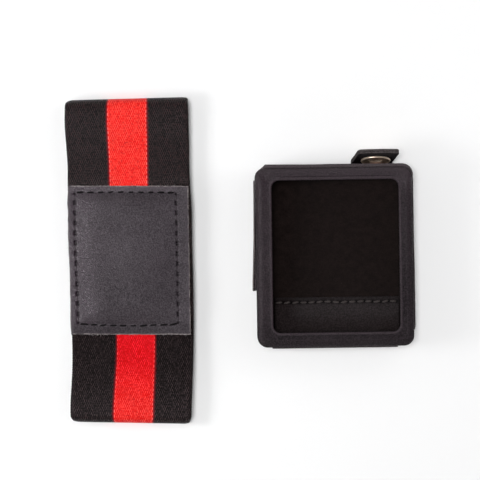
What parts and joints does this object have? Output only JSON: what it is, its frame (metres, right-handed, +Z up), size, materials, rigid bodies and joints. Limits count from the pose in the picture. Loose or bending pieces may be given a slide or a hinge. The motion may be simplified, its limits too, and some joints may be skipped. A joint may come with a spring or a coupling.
{
  "type": "wrist pin cushion",
  "caption": "Elastic wristband with a sewn padded leather patch, and a hinged leather window case with a snap tab and a back keeper for the band.",
  "frame": {"origin": "centre of the set's footprint, on the surface that both pieces rest on", "axes": "+X from the wristband across to the case, +Y along the band towards the case's snap-tab edge, +Z up out of the case's window"},
  "size_m": [0.0996, 0.0928, 0.017],
  "materials": {
    "elastic": "ribbed elastic webbing, black with a red middle third",
    "leather": "black fine-grain leather, satin",
    "felt": "black felt",
    "board": "grey-brown stiffener board",
    "pad": "thin felted pad",
    "stiffener": "thin stiff sheet",
    "backing": "soft black backing cloth",
    "thread": "black polyester thread",
    "snap_metal": "antique nickel-bronze plating, satin"
  },
  "bodies": {
    "wristband": {"elastic_band": "elastic", "guard_plate": "stiffener", "patch_pad": "pad", "patch_leather": "leather", "patch_backing": "backing", "patch_stitches": "thread"},
    "case_back": {"back_leather": "leather", "back_board": "board", "back_lining": "felt", "inner_strip": "leather", "strip_stitches": "thread", "keeper": "leather", "keeper_stitches": "thread", "hinge_leaf_back": "leather"},
    "front_shell": {"shell_leather": "leather", "shell_core": "board", "shell_lining": "felt", "top_strip": "leather", "snap_stud": "snap_metal", "snap_eyelet": "snap_metal", "hinge_leaf_front": "leather"},
    "snap_tab": {"tab_leather": "leather", "tab_lining": "leather", "snap_cap": "snap_metal", "snap_socket": "snap_metal"}
  },
  "joints": [
    {"name": "case_slide", "type": "slide", "parent": "wristband", "child": "case_back", "axis": [1, 0, 0], "range_m": [0, 0.06]},
    {"name": "shell_hinge", "type": "hinge", "parent": "case_back", "child": "front_shell", "pos_m": [0.02641, -0.0246, 0.00365], "axis": [1, 0, 0], "range_deg": [0, 100]},
    {"name": "tab_hinge", "type": "hinge", "parent": "case_back", "child": "snap_tab", "pos_m": [0.0382, 0.02835, 0.0031], "axis": [-1, 0, 0], "range_deg": [-13.3, 75]}
  ]
}
